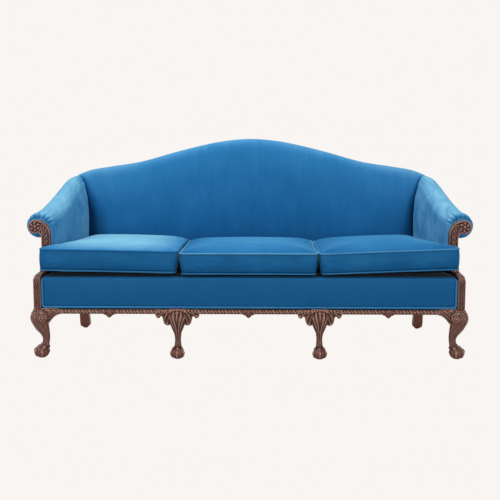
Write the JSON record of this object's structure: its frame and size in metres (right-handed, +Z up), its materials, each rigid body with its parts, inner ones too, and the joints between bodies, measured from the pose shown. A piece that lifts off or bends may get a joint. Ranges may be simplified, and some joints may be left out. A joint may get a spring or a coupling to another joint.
{
  "type": "camelback sofa",
  "caption": "Camelback sofa with rolled arms, carved cabriole legs with ball-and-claw feet, plain raked rear legs and loose seat cushions.",
  "frame": {"origin": "on the floor, at the middle of the sofa's footprint", "axes": "+X to the sofa's left-hand arm as seen by a sitter, to the right in a front view; -Y to the front; +Z up"},
  "size_m": [2.0148, 0.7968, 0.981],
  "materials": {
    "velvet": "blue velvet",
    "mahogany": "satin, stained and waxed",
    "hardwood": "unfinished",
    "deck_cloth": "plain weave",
    "dust_cloth": "thin nonwoven",
    "spring_steel": "oiled wire"
  },
  "bodies": {
    "sofa_frame": {"front_rail": "hardwood", "rear_rail": "hardwood", "side_rail_right": "hardwood", "side_rail_left": "hardwood", "corner_brace_front_right": "hardwood", "corner_brace_front_left": "hardwood", "corner_brace_rear_right": "hardwood", "corner_brace_rear_left": "hardwood", "seat_brace_left": "hardwood", "seat_brace_right": "hardwood", "top_rail": "hardwood", "lower_back_rail": "hardwood", "upright_left": "hardwood", "upright_right": "hardwood", "arm_rail_right": "hardwood", "arm_rail_left": "hardwood", "lower_arm_rail_right": "hardwood", "lower_arm_rail_left": "hardwood", "corner_block_right": "mahogany", "corner_block_left": "mahogany", "leg_front_right": "mahogany", "leg_front_left": "mahogany", "leg_middle_left": "mahogany", "leg_middle_right": "mahogany", "rear_post_right": "mahogany", "rear_post_left": "mahogany", "knee_bracket_corner_right": "mahogany", "knee_bracket_corner_left": "mahogany", "knee_bracket_side_right": "mahogany", "knee_bracket_side_left": "mahogany", "knee_bracket_middle_left_inner": "mahogany", "knee_bracket_middle_left_outer": "mahogany", "knee_bracket_middle_right_inner": "mahogany", "knee_bracket_middle_right_outer": "mahogany", "moulding_left": "mahogany", "moulding_centre": "mahogany", "moulding_right": "mahogany", "pendant_left": "mahogany", "pendant_centre": "mahogany", "pendant_right": "mahogany", "arm_post_right": "mahogany", "arm_post_left": "mahogany", "spring_unit_left": "spring_steel", "spring_unit_centre": "spring_steel", "spring_unit_right": "spring_steel", "seat_deck": "deck_cloth", "dust_cover": "dust_cloth", "front_panel": "velvet", "back_pad": "velvet", "outside_back": "velvet", "arm_pad_right": "velvet", "arm_pad_left": "velvet", "outside_arm_right": "velvet", "outside_arm_left": "velvet"},
    "cushion_left": {"cushion_left": "velvet"},
    "cushion_centre": {"cushion_centre": "velvet"},
    "cushion_right": {"cushion_right": "velvet"}
  },
  "joints": [
    {"name": "cushion_left_lift", "type": "slide", "parent": "sofa_frame", "child": "cushion_left", "axis": [0, 0, 1], "range_m": [0, 0.45]},
    {"name": "cushion_centre_lift", "type": "slide", "parent": "sofa_frame", "child": "cushion_centre", "axis": [0, 0, 1], "range_m": [0, 0.45]},
    {"name": "cushion_right_lift", "type": "slide", "parent": "sofa_frame", "child": "cushion_right", "axis": [0, 0, 1], "range_m": [0, 0.45]}
  ]
}
